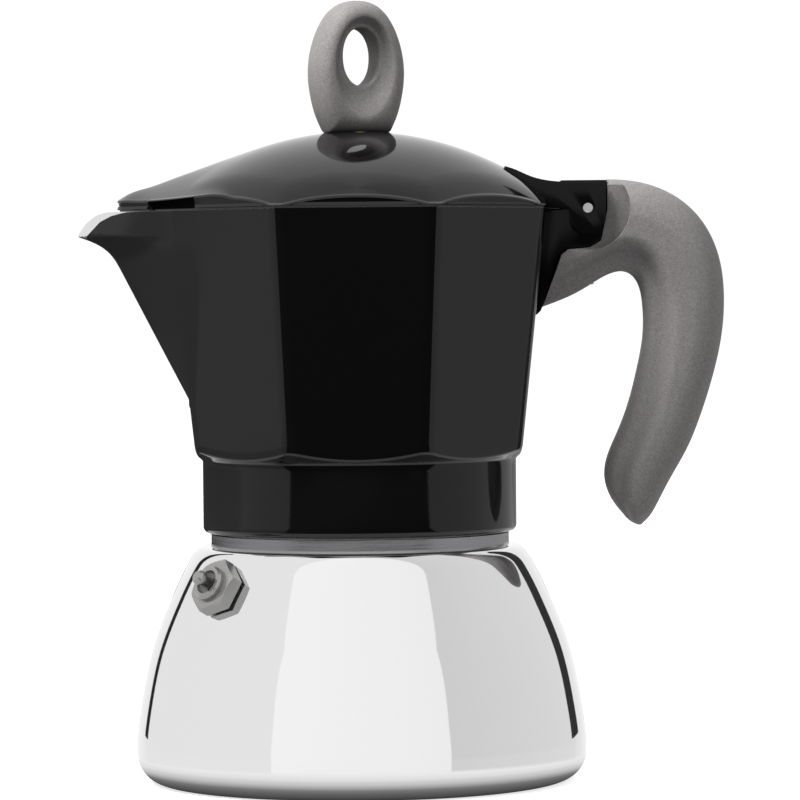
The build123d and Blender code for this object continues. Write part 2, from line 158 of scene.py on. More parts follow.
def wound(name, rows, close_rows=False, slots=None):
    """Closed surface from rows of points round the Z axis, capped at both ends unless the rows close.

    rows is (rows, round, 3) in millimetres; slots gives a material index for each strip.
    """
    rows = np.asarray(rows, dtype=float) * MM
    n, m, _ = rows.shape
    vertices = rows.reshape(-1, 3)
    faces = []
    index = []
    last = n if close_rows else n - 1
    for k in range(last):
        a = k * m
        b = ((k + 1) % n) * m
        for j in range(m):
            i = (j + 1) % m
            faces.append((a + j, a + i, b + i, b + j))
            index.append(slots[k] if slots is not None else 0)
    if not close_rows:
        faces.append(tuple(range(m - 1, -1, -1)))
        faces.append(tuple((n - 1) * m + j for j in range(m)))
        index += [slots[0], slots[-1]] if slots is not None else [0, 0]
    obj = link(name, vertices, faces)
    obj.data.polygons.foreach_set("material_index", index)
    return obj


def lathe(name, profile, segments):
    """Solid of revolution from an (r, z) outline that starts and ends close to the axis."""
    angles = 2 * np.pi * np.arange(segments) / segments
    profile = np.asarray(profile, dtype=float)
    rows = np.stack([np.outer(profile[:, 0], np.cos(angles)),
                     np.outer(profile[:, 0], np.sin(angles)),
                     np.repeat(profile[:, 1:2], segments, axis=1)], axis=2)
    return wound(name, rows)


def prism(name, outline, half_width):
    """Side-view outline in (x, z), extruded equally either side of the XZ plane."""
    n = len(outline)
    vertices = [(x * MM, s * half_width * MM, z * MM) for s in (-1, 1) for x, z in outline]
    faces = [tuple(range(n)), tuple(range(2 * n - 1, n - 1, -1))]
    faces += [(k, k + n, (k + 1) % n + n, (k + 1) % n) for k in range(n)]
    obj = link(name, vertices, faces, smooth=False)
    outward(obj)
    return obj


def outward(obj):
    """Turn every face normal out of the solid."""
    mesh = bmesh.new()
    mesh.from_mesh(obj.data)
    bmesh.ops.recalc_face_normals(mesh, faces=mesh.faces)
    mesh.to_mesh(obj.data)
    mesh.free()


def cylinder(radius, half_length, x, z, axis="Y"):
    """Cutter along Y or Z, centred at (x, z), millimetres."""
    bpy.ops.mesh.primitive_cylinder_add(vertices=96, radius=radius * MM, depth=2 * half_length * MM)
    obj = bpy.context.active_object
    obj.location = (x * MM, 0, z * MM)
    if axis == "Y":
        obj.rotation_euler = (math.pi / 2, 0, 0)
    return obj


def block(low, high):
    """Box between two corners, millimetres."""
    bpy.ops.mesh.primitive_cube_add(size=1)
    obj = bpy.context.active_object
    obj.location = [(a + b) / 2 * MM for a, b in zip(low, high)]
    obj.scale = [(b - a) * MM for a, b in zip(low, high)]
    return obj


def carve(obj, cutter):
    """Cut one solid out of another, applied to the mesh at once."""
    modifier = obj.modifiers.new("carve", "BOOLEAN")
    modifier.operation = "DIFFERENCE"
    modifier.solver = "EXACT"
    modifier.object = cutter
    settle(obj)
    bpy.data.objects.remove(cutter, do_unlink=True)


def settle(obj):
    """Apply an object's modifiers to its mesh."""
    bpy.context.view_layer.update()
    graph = bpy.context.evaluated_depsgraph_get()
    mesh = bpy.data.meshes.new_from_object(obj.evaluated_get(graph))
    obj.modifiers.clear()
    obj.data = mesh


def soften(obj, width):
    """Rounded edges where faces meet sharply."""
    bevel = obj.modifiers.new("edges", "BEVEL")
    bevel.width = width * MM
    bevel.segments = 3
    bevel.limit_method = "ANGLE"
    bevel.angle_limit = math.radians(35)
    bevel.harden_normals = False
    settle(obj)
    shade(obj, 40)


def shade(obj, angle):
    """Smooth shading, with an edge kept sharp above the angle in degrees."""
    mesh = obj.data
    mesh.polygons.foreach_set("use_smooth", [True] * len(mesh.polygons))
    mesh.set_sharp_from_angle(angle=math.radians(angle))


# ---------------------------------------------------------------- plan shapes about the axis

def octagon_reach(theta, apothem, corner_r):
    """Distance from the axis to an octagon with rounded corners, flats square to X and Y."""
    eighth = math.radians(22.5)
    phi = np.abs((theta + eighth) % (2 * eighth) - eighth)
    flat = apothem / np.cos(phi)
    centre = (apothem - corner_r) / math.cos(eighth)
    off = eighth - phi
    bulge = centre * np.cos(off) + np.sqrt(np.maximum(corner_r ** 2 - (centre * np.sin(off)) ** 2, 0))
    ends = np.arctan((apothem - corner_r) * math.tan(eighth) / apothem)
    return np.where(phi > ends, bulge, flat)


def pointed_reach(theta, apothem, corner_r, point, rear_x, nose_r, inset):
    """Distance from the axis to an octagon whose -X end is drawn out to a V with a rounded nose.

    The V reaches point from the axis. Each of its sides ends in a soft crease on the next flat, at
    rear_x from the axis. inset shrinks the whole outline.
    """
    octagon = octagon_reach(theta, apothem - inset, corner_r - 0.5 * inset)
    rear_y = apothem * math.sqrt(2) - rear_x
    half_angle = np.arctan2(rear_y, point - rear_x)
    apex = point + nose_r * (1 / np.sin(half_angle) - 1)
    half_angle = np.arctan2(rear_y, apex - rear_x)
    apex = apex - inset / np.sin(half_angle)
    nose_r = nose_r - 0.9 * inset
    psi = np.abs(theta % (2 * math.pi) - math.pi)
    soft = 0.057
    end = np.arctan2(rear_y, rear_x) + soft
    near = np.minimum(psi, end)
    centre = apex - nose_r / np.sin(half_angle)
    nose = centre * np.cos(near) + np.sqrt(np.maximum(nose_r ** 2 - (centre * np.sin(near)) ** 2, 0))
    touch = np.arctan2(nose_r * np.cos(half_angle), centre + nose_r * np.sin(half_angle))
    side = apex * np.sin(half_angle) / np.sin(near + half_angle)
    side_end = apex * np.sin(half_angle) / np.sin(end + half_angle)
    flat_end = (apothem - inset) / np.cos(end - math.pi / 4)
    turn = np.clip((psi - end) / soft + 1, -1, 1)
    flank = np.where(near < touch, nose, side) + (flat_end - side_end) * (turn + 1) ** 2 / 4
    return np.where(psi > end, octagon, flank)


def blend_out(a, b, width):
    """The larger of two distances, with a small fillet where they cross."""
    gap = np.clip(0.5 + 0.5 * (a - b) / width, 0, 1)
    return b + (a - b) * gap + width * gap * (1 - gap)


def apothem_at(z):
    """Distance from the axis to the octagon's flats at a height."""
    return LOW_APOTHEM + (RIM_APOTHEM - LOW_APOTHEM) * (z - BODY_LOW) / (RIM_Z - BODY_LOW)


def keel(z):
    """Reach of the spout's front edge, before the flare at the pouring tip."""
    return KEEL_X + KEEL_SLOPE * (np.minimum(z, TIP_Z) - FLARE_Z)


def flare(z):
    """How far the front edge is pulled out towards the tip."""
    share = np.clip((z - FLARE_Z) / (TIP_Z - FLARE_Z), 0, 1)
    return (-TIP_X - keel(TIP_Z)) * share ** 4.8


def body_reach(theta, z, inset):
    """Distance from the axis to the collector's wall, spout included, shrunk by an inset."""
    apothem = apothem_at(z)
    rear_x = np.minimum(REAR_X - REAR_DRAW * (z - REAR_FROM_Z) / (RIM_Z - REAR_FROM_Z), keel(z) - 0.02)
    pointed = pointed_reach(theta, apothem, CORNER_R, keel(z), rear_x, NOSE_R, inset)
    psi = np.abs(theta % (2 * math.pi) - math.pi)
    pointed = pointed + flare(z) * np.clip(1 - psi / 0.42, 0, 1) ** 1.6
    return np.where(z < SPOUT_ROOT_Z, octagon_reach(theta, apothem - inset, CORNER_R - 0.5 * inset), pointed)


def lip_height(x):
    """Height of the open edge above a point at x: level, then rolling over to the tip."""
    share = np.clip((LIP_ROLL_X - x) / (LIP_ROLL_X - TIP_X), 0, 1)
    return TIP_Z + (RIM_Z - TIP_Z) * (1 - share ** 2) ** 0.75


def bare_from(x):
    """Height above which the spout's outside is ground bare, at a point of the open edge."""
    return np.interp(x, [-68.4, -66.4, -65.1, -62.6, -59.7, -56.5, -54.5],
                     [132.8, 133.2, 134.5, 137.0, 138.4, 139.15, RIM_Z + 0.05])


# ---------------------------------------------------------------- boiler

def boiler_shell():
    """Polished cup: rounded foot, long flank, shoulder rolled in to the neck."""
    foot = list(arc((BASE_R - FOOT_R, FOOT_R), FOOT_R, -90, 0, 9))
    flank = [(53.9, 19.0), (50.7, 33.6), (46.2, 45.2), (42.2, 53.4)]
    shoulder = [(40.3, 56.3), (39.1, 57.35), (37.4, SHOULDER_Z)]
    outer = through(foot + flank + shoulder, 220)
    outer[:, 1] = np.clip(outer[:, 1], 0, SHOULDER_Z)
    outer[:, 0] = np.minimum(outer[:, 0], BASE_R)
    step = np.gradient(outer, axis=0)
    out = np.stack([step[:, 1], -step[:, 0]], axis=1) / np.linalg.norm(step, axis=1)[:, None]
    inner = (outer - SHELL_WALL * out)[::-1]
    under = [(0.01, 0.3), (41.4, 0.3), (41.7, 0.1), (42.0, 0.0)]
    neck = [(NECK_RING_R, SHOULDER_Z - 0.15), (NECK_RING_R, SHOULDER_Z - 0.9)]
    profile = np.concatenate([under, outer, neck, inner, [(0.01, SHELL_WALL)]])
    obj = lathe("boiler_shell_skin", profile, 384)
    carve(obj, valve_drill())
    shade(obj, 30)
    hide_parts("boiler_shell")
    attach(obj, "boiler")
    return obj


def valve_drill():
    """Cutter for the valve's hole through the wall."""
    azimuth, tilt = math.radians(VALVE_AZIMUTH), math.radians(VALVE_TILT)
    axis = Vector((math.cos(azimuth) * math.cos(tilt), math.sin(azimuth) * math.cos(tilt), math.sin(tilt)))
    bpy.ops.mesh.primitive_cylinder_add(vertices=64, radius=VALVE_HOLE_R * MM, depth=8 * MM)
    obj = bpy.context.active_object
    centre = Vector((VALVE_REACH * math.cos(azimuth), VALVE_REACH * math.sin(azimuth), VALVE_Z))
    obj.location = centre * MM
    obj.rotation_euler = axis.to_track_quat("Z", "Y").to_euler()
    return obj


# ---------------------------------------------------------------- collector

def collector_skin():
    """Collar, octagon and spout as one cast skin: enamel outside, bare metal inside and on the lip."""
    theta = 2 * np.pi * np.arange(ROUND) / ROUND

    def ring(radius, z):
        """Closed row of points round the axis."""
        r = np.broadcast_to(radius, theta.shape)
        return np.stack([r * np.cos(theta), r * np.sin(theta), np.broadcast_to(z, theta.shape)], axis=1)

    # The underside slopes, so where it meets the wall is found by repeated closing in.
    low = np.full(ROUND, BODY_LOW)
    for _ in range(12):
        low = BODY_LOW + 0.6 * (body_reach(theta, low, 0) - COLLAR_R)
    # So is the height at which the wall meets the open edge, by halving.
    top_low = np.full(ROUND, 120.0)
    top_high = np.full(ROUND, RIM_Z)
    for _ in range(40):
        middle = (top_low + top_high) / 2
        above = middle > lip_height(body_reach(theta, middle, 0) * np.cos(theta))
        top_high = np.where(above, middle, top_high)
        top_low = np.where(above, top_low, middle)
    top = top_high
    rows = []
    slots = []

    def add(row, slot):
        """Put one more row on the skin; slot is the finish of the strip that follows it."""
        rows.append(row)
        slots.append(slot)

    under = [(SPIGOT_R, CEILING_Z), (27.0, SEAT_Z), (GASKET_R + 0.2, SEAT_Z),
             (GASKET_R + 0.2, 73.4), (COLLAR_BORE_R, 72.4), (COLLAR_BORE_R, COLLAR_LOW + 0.5),
             (COLLAR_BORE_R + 0.4, COLLAR_LOW)]
    for r, z in under:
        add(ring(r, z), 1)
    for r, z in arc((COLLAR_R - 1.5, COLLAR_LOW + 1.5), 1.5, -90, 0, 9):
        add(ring(r, z), 0)
    for z in np.linspace(COLLAR_LOW + 2.5, BODY_LOW - 0.4, 12):
        add(ring(COLLAR_R, z), 0)
    edge = 0.7
    reach = body_reach(theta, low, 0)
    add(ring(COLLAR_R + 0.12, BODY_LOW - 0.1), 0)
    add(ring(COLLAR_R + 0.5, BODY_LOW + 0.25), 0)
    for share in (0.35, 0.7):
        r = COLLAR_R + 0.5 + (reach - edge - COLLAR_R - 0.5) * share
        add(ring(r, BODY_LOW + 0.6 * (r - COLLAR_R)), 0)
    for turn in np.radians(np.linspace(0, 90, 7)):
        r = reach - edge * (1 - math.sin(turn)) * 0.8
        z = low - 0.48 * edge * (1 - math.sin(turn)) + edge * (1 - math.cos(turn))
        add(ring(r, z), 0)
    start = low + edge + 0.4
    edge_x = body_reach(theta, top, 0) * np.cos(theta)
    least = 0.02 + 0.1 * np.clip((-52.0 - edge_x) / 4.0, 0, 1)
    bare = np.minimum(bare_from(edge_x), top - least)
    for share in np.linspace(0, 1, 180) ** 0.8:
        z = start + (bare - start) * share
        add(ring(body_reach(theta, z, 0), z), 0)
    slots[-1] = 2
    chamfer = 0.25 * np.clip((-55.5 - edge_x) / 6.0, 0, 1)
    for share in np.linspace(0, 1, 11)[1:]:
        z = bare + (top - 0.5 * least - bare) * share
        back = chamfer * np.clip((z - 133.0) / (top - 132.9), 0, 1)
        add(ring(body_reach(theta, z, 0) - back, z), 2)
    outer_top = body_reach(theta, top, 0) - chamfer
    inner_top = body_reach(theta, top, WALL)
    for share in (0.06, 0.5, 0.94):
        add(ring(outer_top + (inner_top - outer_top) * share, top), 1)
    for share in 1 - np.linspace(0.006, 1, 90) ** 1.3:
        z = FLOOR_Z + 2.5 + (top - FLOOR_Z - 2.5) * share
        add(ring(body_reach(theta, z, WALL), z), 1)
    inner_low = body_reach(theta, np.full(ROUND, FLOOR_Z + 2.5), WALL)
    for turn in np.radians(np.linspace(15, 90, 6)):
        add(ring(inner_low - 2.5 * (1 - math.cos(turn)), FLOOR_Z + 2.5 * (1 - math.sin(turn))), 1)
    for r in (30.0, 20.0, 12.0, SPIGOT_R):
        add(ring(r, FLOOR_Z), 1)
    obj = wound("collector_skin", rows, close_rows=True, slots=slots)
    outward(obj)
    shade(obj, 32)
    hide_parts("collector_body")
    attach(obj, "collector")
    return obj


def column():
    """Coffee column: tapering tube, closed on top, with two windows."""
    outer = [(0.01, CEILING_Z), (SPIGOT_R, CEILING_Z), (SPIGOT_R, FLOOR_Z), (11.0, FLOOR_Z),
             (11.0, FLOOR_Z + 0.7), (9.6, FLOOR_Z + 1.6), (9.0, FLOOR_Z + 3.0)]
    taper = [(9.0 - 3.0 * k / 10, FLOOR_Z + 3.0 + (COLUMN_TOP - 5 - FLOOR_Z) * k / 10)
             for k in range(1, 11)]
    crown = list(map(tuple, arc((4.2, COLUMN_TOP - 1.8), 1.8, 5, 90, 8))) + [(0.01, COLUMN_TOP)]
    rows = list(map(tuple, outer + taper + crown))
    solid = lathe("coffee_column", rows, 128)
    outward(solid)
    carve(solid, cylinder(COLUMN_BORE_R, 30, 0, COLUMN_TOP - 34, axis="Z"))
    carve(solid, block((-12, -1.6, COLUMN_TOP - 12.5), (12, 1.6, COLUMN_TOP - 5.5)))
    shade(solid, 35)
    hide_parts("coffee_column")
    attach(solid, "collector")
    return solid


def collar_thread():
    """Rib of the screw thread inside the collar."""
    turns = 4.0 / 3.0
    steps = 320
    angle = np.linspace(0, 2 * np.pi * turns, steps)
    centre = COLLAR_LOW + 1.5 + 3.0 * angle / (2 * np.pi)
    fade = np.clip(np.minimum(angle, angle[-1] - angle) / 0.18, 0.04, 1)
    crest = COLLAR_BORE_R - 1.5 * fade
    shape = [(COLLAR_BORE_R + 0.2, -0.85), (crest, -0.35), (crest, 0.35), (COLLAR_BORE_R + 0.2, 0.85)]
    rows = []
    for r, dz in shape:
        r = np.broadcast_to(r, angle.shape)
        rows.append(np.stack([r * np.cos(angle), r * np.sin(angle), centre + dz], axis=1))
    points = np.stack(rows, axis=1) * MM
    vertices = points.reshape(-1, 3)
    faces = []
    for k in range(steps - 1):
        for j in range(4):
            i = (j + 1) % 4
            faces.append((4 * k + j, 4 * k + i, 4 * k + 4 + i, 4 * k + 4 + j))
    faces.append((3, 2, 1, 0))
    faces.append(tuple(4 * (steps - 1) + j for j in range(4)))
    obj = link("collar_thread", vertices, faces)
    outward(obj)
    shade(obj, 30)
    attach(obj, "collector")
    return obj


def hinge_lug():
    """Lug cast on the collector, which carries the pin and the handle."""
    outline = [(43.9, RIM_Z - 0.02), (49.4, RIM_Z - 0.02), (49.4, 146.2), (60.9, 146.2), (60.9, 139.0),
               (59.4, 131.5), (56.5, 129.8), (51.3, 129.4), (49.5, 128.1), (45.6, 117.0), (44.5, 114.4),
               (43.4, 113.4), (42.0, 113.4)]
    obj = prism("hinge_lug", outline, LUG_Y)
    soften(obj, 0.45)
    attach(obj, "collector")
    return obj


# ---------------------------------------------------------------- lid

# Stations along the beak: x, half width, skirt height, ridge height, roundness.
BEAK = [(-22.0, 37.0, 141.4, 155.2, 1.0), (-30.0, 35.0, 142.0, 152.75, 0.85),
        (-39.0, 27.0, 141.9, 149.6, 0.35), (-45.5, 19.0, 141.6, 147.3, 0.2),
        (-51.0, 12.2, 141.5, 145.4, 0.2), (-56.0, 6.9, 141.3, 143.75, 0.35),
        (-58.4, 4.6, 141.1, 142.3, 0.5), (-60.8, 1.5, 140.6, 140.9, 0.6)]
BEAK_POINT = 58.9
BEAK_REAR_X = 38.2
BEAK_NOSE_R = 6.5
VENT_X = (-50.6, -38.6)


def lid_reach(theta, inset):
    """Distance from the axis to the lid's edge, shrunk by an inset."""
    return pointed_reach(theta, LID_APOTHEM, 3.2, BEAK_POINT, BEAK_REAR_X, BEAK_NOSE_R, inset)


def lid_top(x, y):
    """Height of the lid's outer face: a dome with a rounded ridge running out over the spout."""
    r = np.hypot(x, y)
    dome = DOME_TOP - DOME_R + np.sqrt(DOME_R ** 2 - np.minimum(r ** 2, DOME_R ** 2 - 1))
    to_flat = r / octagon_reach(np.arctan2(y, x), 1.0, 0.07)
    fall = 1.38 + 0.22 * np.cos(8 * np.arctan2(y, x))
    dome = dome - fall * np.clip((to_flat / LID_APOTHEM - 0.84) / 0.16, 0, 1.1) ** 2
    line = through(BEAK, 300)[::-1]
    half_width, skirt, ridge, roundness = (np.interp(x, line[:, 0], line[:, k]) for k in range(1, 5))
    share = np.abs(y) / half_width
    gable = (np.sqrt(share ** 2 + 0.012) - 0.1095) / 0.8965
    roof = ridge - (ridge - skirt) * (roundness * share ** 2 + (1 - roundness) * gable)
    roof = roof - 1.5 * np.maximum(x + 25.0, 0)
    return blend_out(dome, roof, 0.35)


def lid_skin():
    """Dome, rolled edge, skirt with the steam vent sunk in it, and the hollow underneath."""
    theta = 2 * np.pi * np.arange(ROUND) / ROUND
    reach = lid_reach(theta, 0)
    inner_reach = lid_reach(theta, 1.9)
    cos, sin = np.cos(theta), np.sin(theta)

    def ring(radius, z):
        """Closed row of points round the axis."""
        return np.stack([radius * cos, radius * sin, np.broadcast_to(z, theta.shape)], axis=1)

    rows = []
    rows.append(ring(np.full(ROUND, 0.05), KNOB_LOW))
    rows.append(ring(np.full(ROUND, 8.7), KNOB_LOW))
    edge = 0.8
    for share in np.linspace(0, 1, 120):
        r = 9.0 + (reach - edge - 9.0) * share
        rows.append(ring(r, np.maximum(lid_top(r * cos, r * sin), RIM_Z + 1.0)))
    r_in = reach - edge
    z_edge = np.maximum(lid_top(r_in * cos, r_in * sin), RIM_Z + 1.0)
    slope = (lid_top((r_in - 0.5) * cos, (r_in - 0.5) * sin) - z_edge) / 0.5
    tilt = np.arctan(np.clip(slope, 0, 3))
    height = np.minimum(edge, z_edge - RIM_Z - 0.62)
    x_edge = reach * cos
    vent = np.clip(np.minimum(x_edge - VENT_X[0], VENT_X[1] - x_edge) / 0.15, 0, 1)
    height = height + (np.minimum(height, 0.5) - height) * vent
    for turn in np.linspace(0.12, 1, 9):
        angle = tilt + (np.pi / 2 - tilt) * turn
        grow = (np.sin(angle) - np.sin(tilt)) / (1 - np.sin(tilt))
        drop = (np.cos(tilt) - np.cos(angle)) / np.cos(tilt)
        rows.append(ring(r_in + edge * grow, z_edge - height * drop))
    z_skirt = z_edge - height
    band = np.minimum(RIM_Z + 1.3, z_skirt - 0.05)
    facet = 0.3 + 0.08 * np.clip(z_skirt - band, 0, 2)
    skirt = [(0.0, 0.9, z_skirt - 0.02), (0.3, 0.7, z_skirt - 0.03), (facet, 1.0, band + 0.02),
             (0.14, 1.2, band - 0.02), (0.0, 1.75, RIM_Z + 0.6), (0.1, 1.65, RIM_Z + 0.5),
             (0.55, 1.2, RIM_Z + 0.5), (0.6, 1.15, RIM_Z + 0.45)]
    for back, sunk, z in skirt:
        rows.append(ring(reach - back - sunk * vent, z))
    outside = len(rows)
    rows.append(ring(reach - 0.6 - 1.15 * vent, RIM_Z + 0.05))
    rows.append(ring(inner_reach, RIM_Z + 0.05))
    for share in np.linspace(0, 1, 60):
        r = inner_reach + (6.0 - inner_reach) * share
        z = np.maximum(lid_top(r * cos, r * sin) - 1.8, RIM_Z + 0.6)
        rows.append(ring(r, z))
    rows.append(ring(np.full(ROUND, 5.0), 156.6))
    rows.append(ring(np.full(ROUND, 4.8), 156.05))
    rows.append(ring(np.full(ROUND, 0.05), 156.05))
    slots = [0] * outside + [1] * (len(rows) - 1 - outside)
    obj = wound("lid_skin", rows, slots=slots)
    outward(obj)
    darken_vent(obj)
    shade(obj, 38)
    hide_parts("lid")
    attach(obj, "lid")
    return obj


def darken_vent(obj):
    """Put the faces inside the lid's steam vent on the third material, a dull near-black that is painted
    shadow standing in for the dark of an open slot.
    """
    mesh = obj.data
    count = len(mesh.polygons)
    centre = np.zeros(3 * count)
    mesh.polygons.foreach_get("center", centre)
    x, y, z = centre.reshape(count, 3).T / MM
    sunk = lid_reach(np.arctan2(y, x), 0) - np.hypot(x, y)
    inside = (x > VENT_X[0]) & (x < VENT_X[1]) & (z > RIM_Z + 0.3) & (z < 142.2)
    inside = inside & (sunk > 0.55) & (sunk < 1.85)
    index = np.zeros(count, dtype=np.int32)
    mesh.polygons.foreach_get("material_index", index)
    mesh.polygons.foreach_set("material_index", np.where(inside, 2, index).astype(np.int32))


def hinge_arm():
    """Arm from the dome that forks either side of the lug, with a round lobe below the pin."""
    top = [tuple(p) for p in through([(36.0, 149.7), (38.2, 149.0), (42.0, 147.3), (45.5, 146.3),
                                      (49.0, 145.85), (53.0, 145.65), (58.9, 145.6)], 24)]
    nose = [tuple(p) for p in arc((58.9, 144.1), 1.5, 80, 0, 6)]
    lobe = [tuple(p) for p in arc((PIN_X, 137.3), 4.35, 0, -180, 28)]
    outline = [(38.5, 142.5)] + top + nose + lobe + [(51.5, 139.46), (44.6, 139.46), (44.2, 142.0)]
    obj = prism("hinge_arm", outline, CHEEK_Y)
    carve(obj, block((46.2, -SLOT_Y, 125), (75, SLOT_Y, 155)))
    for side in (-1, 1):
        cutter = cylinder(1.68, 0.5, PIN_X, PIN_Z)
        cutter.location.y = side * CHEEK_Y * MM
        carve(obj, cutter)
    soften(obj, 0.4)
    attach(obj, "lid")
    return obj


# ---------------------------------------------------------------- handle

# Stations down the grip: inner edge, outer edge (x, z) and half width.
STATIONS = [
    ((43.5, 114.9), (44.0, 146.2), HANDLE_Y), ((54.4, 119.4), (56.5, 146.3), HANDLE_Y),
    ((60.4, 122.9), (64.5, 146.3), HANDLE_Y), ((64.4, 123.9), (71.6, 145.0), HANDLE_Y),
    ((67.3, 122.5), (78.8, 141.5), HANDLE_Y), ((68.8, 119.6), (84.4, 135.9), HANDLE_Y),
    ((69.4, 116.0), (88.2, 127.8), HANDLE_Y), ((69.6, 111.6), (89.5, 117.6), HANDLE_Y),
    ((69.2, 106.4), (88.8, 108.0), HANDLE_Y), ((67.9, 100.0), (86.6, 98.2), HANDLE_Y),
    ((65.9, 92.3), (83.6, 88.8), HANDLE_Y), ((62.9, 84.4), (80.0, 80.2), HANDLE_Y),
    ((60.2, 77.6), (75.9, 73.0), 9.3), ((59.9, 73.2), (73.6, 68.7), 8.8),
    ((61.6, 68.3), (71.3, 64.6), 7.4), ((64.6, 64.3), (69.2, 62.3), 4.0),
]


def handle_skin():
    """Grip lofted through its sections, then cut back round the hinge."""
    rail = through([(a[0], a[1], b[0], b[1], v) for a, b, v in STATIONS], 150)
    rows = []
    for index, (ax, az, bx, bz, v) in enumerate(rail):
        width = math.hypot(bx - ax, bz - az)
        bead = min(2.4, 0.16 * width)
        flat = min(1.0, max(0.0, (46 - index) / 14))
        full = max(min(8.6, 0.5 * width), 1.6 * bead)
        half = through([
            (0.0, 0.0), ((0.12 - 0.11 * flat) * bead, 0.24 * v),
            ((0.45 - 0.42 * flat) * bead, (0.40 + 0.03 * flat) * v), ((1 - 0.6 * flat) * bead, 0.52 * v),
            (bead + 0.25 * (full - bead), 0.57 * v), (bead + 0.5 * (full - bead), 0.73 * v),
            (bead + 0.75 * (full - bead), 0.92 * v), (full, v), (0.66 * width, 0.985 * v),
            (0.8 * width, 0.88 * v), (0.92 * width, 0.62 * v), (0.985 * width, 0.28 * v), (width, 0.0),
        ], 42)
        half[:, 0] = np.clip(half[:, 0], 0, width - 0.01)
        half[:, 1] = np.clip(half[:, 1], 0, v)
        u = np.concatenate([half[:, 0], half[-2:0:-1, 0]]) / width
        w = np.concatenate([half[:, 1], -half[-2:0:-1, 1]])
        rows.append(np.stack([ax + (bx - ax) * u, w, az + (bz - az) * u], axis=1))
    tip = rows[-1]
    middle = tip.mean(axis=0)
    step = np.array([0.28, 0, -1.1])
    for grow, out in ((0.86, 0.35), (0.6, 0.75), (0.25, 0.97)):
        rows.append(middle + (tip - middle) * grow + step * out)
    obj = wound("handle_grip", rows)
    outward(obj)
    root = [(49.6, 128.1), (51.4, 129.35), (56.5, 129.75), (59.4, 131.45), (60.95, 139.0), (60.95, 152),
            (30, 152), (30, 108), (43.0, 108.0), (44.55, 114.4), (45.65, 117.0)]
    carve(obj, prism("cut", root, 20))
    for side in (-1, 1):
        scoop = cylinder(SCOOP_R, 10, PIN_X, PIN_Z)
        scoop.location.y = side * (LUG_Y + 0.1 + 10) * MM
        carve(obj, scoop)
    carve(obj, cylinder(SCREW_RECESS_R, 6.5, 54.5, 116.5, axis="Z"))
    shade(obj, 28)
    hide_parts("handle")
    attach(obj, "collector")
    return obj


# ---------------------------------------------------------------- knob

def knob_skin():
    """Egg-shaped ring with dished faces and a tall eye, standing on a flat foot."""
    right = [(7.9, KNOB_LOW), (9.5, 161.6), (10.9, 166.5), (11.6, 171.4), (11.4, 176.3), (10.2, 181.2),
             (8.0, 185.9), (4.9, 189.2), (0.0, KNOB_TOP), (-4.9, 189.2)]
    line = through(right, 400)
    line = line[line[:, 0] >= 0]
    angles = np.linspace(-np.pi / 2, np.pi / 2, 160)
    bearing = np.arctan2(line[:, 1] - EYE_Z, line[:, 0])
    far = np.hypot(line[:, 0], line[:, 1] - EYE_Z)
    order = np.argsort(bearing)
    outer = np.interp(angles, bearing[order], far[order])
    foot = (EYE_Z - KNOB_LOW) / np.maximum(-np.sin(angles), 1e-6)
    outer = np.where(angles < bearing.min(), foot, outer)
    angles = np.concatenate([angles, np.pi - angles[-2:0:-1]])
    outer = np.concatenate([outer, outer[-2:0:-1]])
    power = 2.1
    across, up = EYE_HALF
    eye = (np.abs(np.cos(angles) / across) ** power + np.abs(np.sin(angles) / up) ** power) ** (-1 / power)
    a, b = DISH_HALF
    lift = EYE_Z - DISH_Z
    p = (np.cos(angles) / a) ** 2 + (np.sin(angles) / b) ** 2
    q = lift * np.sin(angles) / b ** 2
    dish = (-q + np.sqrt(q ** 2 - p * ((lift / b) ** 2 - 1))) / p
    half = KNOB_T / 2
    rows = []
    for angle, far_r, dish_r, near_r in zip(angles, outer, dish, eye):
        dish_r = min(dish_r, far_r - 2.2)
        blunt = 2.3 + 0.25 * max(0.0, -math.sin(angle))
        edge = []
        for turn in np.radians(np.linspace(0, 90, 15)):
            edge.append((dish_r + (far_r - dish_r) * math.cos(turn) ** (2 / blunt),
                         half * math.sin(turn) ** (2 / blunt)))
        edge[-1] = (dish_r, half)
        hollow = []
        for share in np.linspace(0.06, 1, 14):
            r = dish_r + (near_r + 0.5 - dish_r) * share
            depth = 2.5 * (0.5 - 0.5 * math.cos(math.pi * min(1, share * 1.05))) ** 0.75
            hollow.append((r, half - depth))
        wall = [(near_r + 0.2, half - 2.65), (near_r + 0.05, half - 2.8), (near_r, half - 3.1)]
        front = edge + hollow + wall
        loop = front + [(near_r, 0.0)] + [(r, -y) for r, y in front[:0:-1]]
        rows.append([(r * math.cos(angle), y, EYE_Z + r * math.sin(angle)) for r, y in loop])
    rows = np.array(rows)
    rows[..., 2] = np.clip(rows[..., 2], KNOB_LOW, KNOB_TOP - 0.002)
    obj = wound("knob_ring", rows, close_rows=True)
    outward(obj)
    obj.data.transform(Matrix.Rotation(math.radians(KNOB_TURN), 4, "Z"))
    shade(obj, 50)
    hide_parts("knob")
    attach(obj, "lid")
    return obj


# ---------------------------------------------------------------- materials

def material(name, base, metallic=0.0, roughness=0.5, **sockets):
    """Principled material; extra keywords are its sockets, with _ for a space."""
    mat = bpy.data.materials.new(name)
    mat.use_nodes = True
    shader = mat.node_tree.nodes["Principled BSDF"]
    shader.inputs["Base Color"].default_value = (*base, 1)
    shader.inputs["Metallic"].default_value = metallic
    shader.inputs["Roughness"].default_value = roughness
    for key, value in sockets.items():
        shader.inputs[key.replace("_", " ")].default_value = value
    return mat


def node(mat, kind, **settings):
    """New shader node, with its sockets or properties set by name."""
    made = mat.node_tree.nodes.new(kind)
    for key, value in settings.items():
        if key in made.inputs.keys():
            made.inputs[key].default_value = value
        else:
            setattr(made, key, value)
    return made


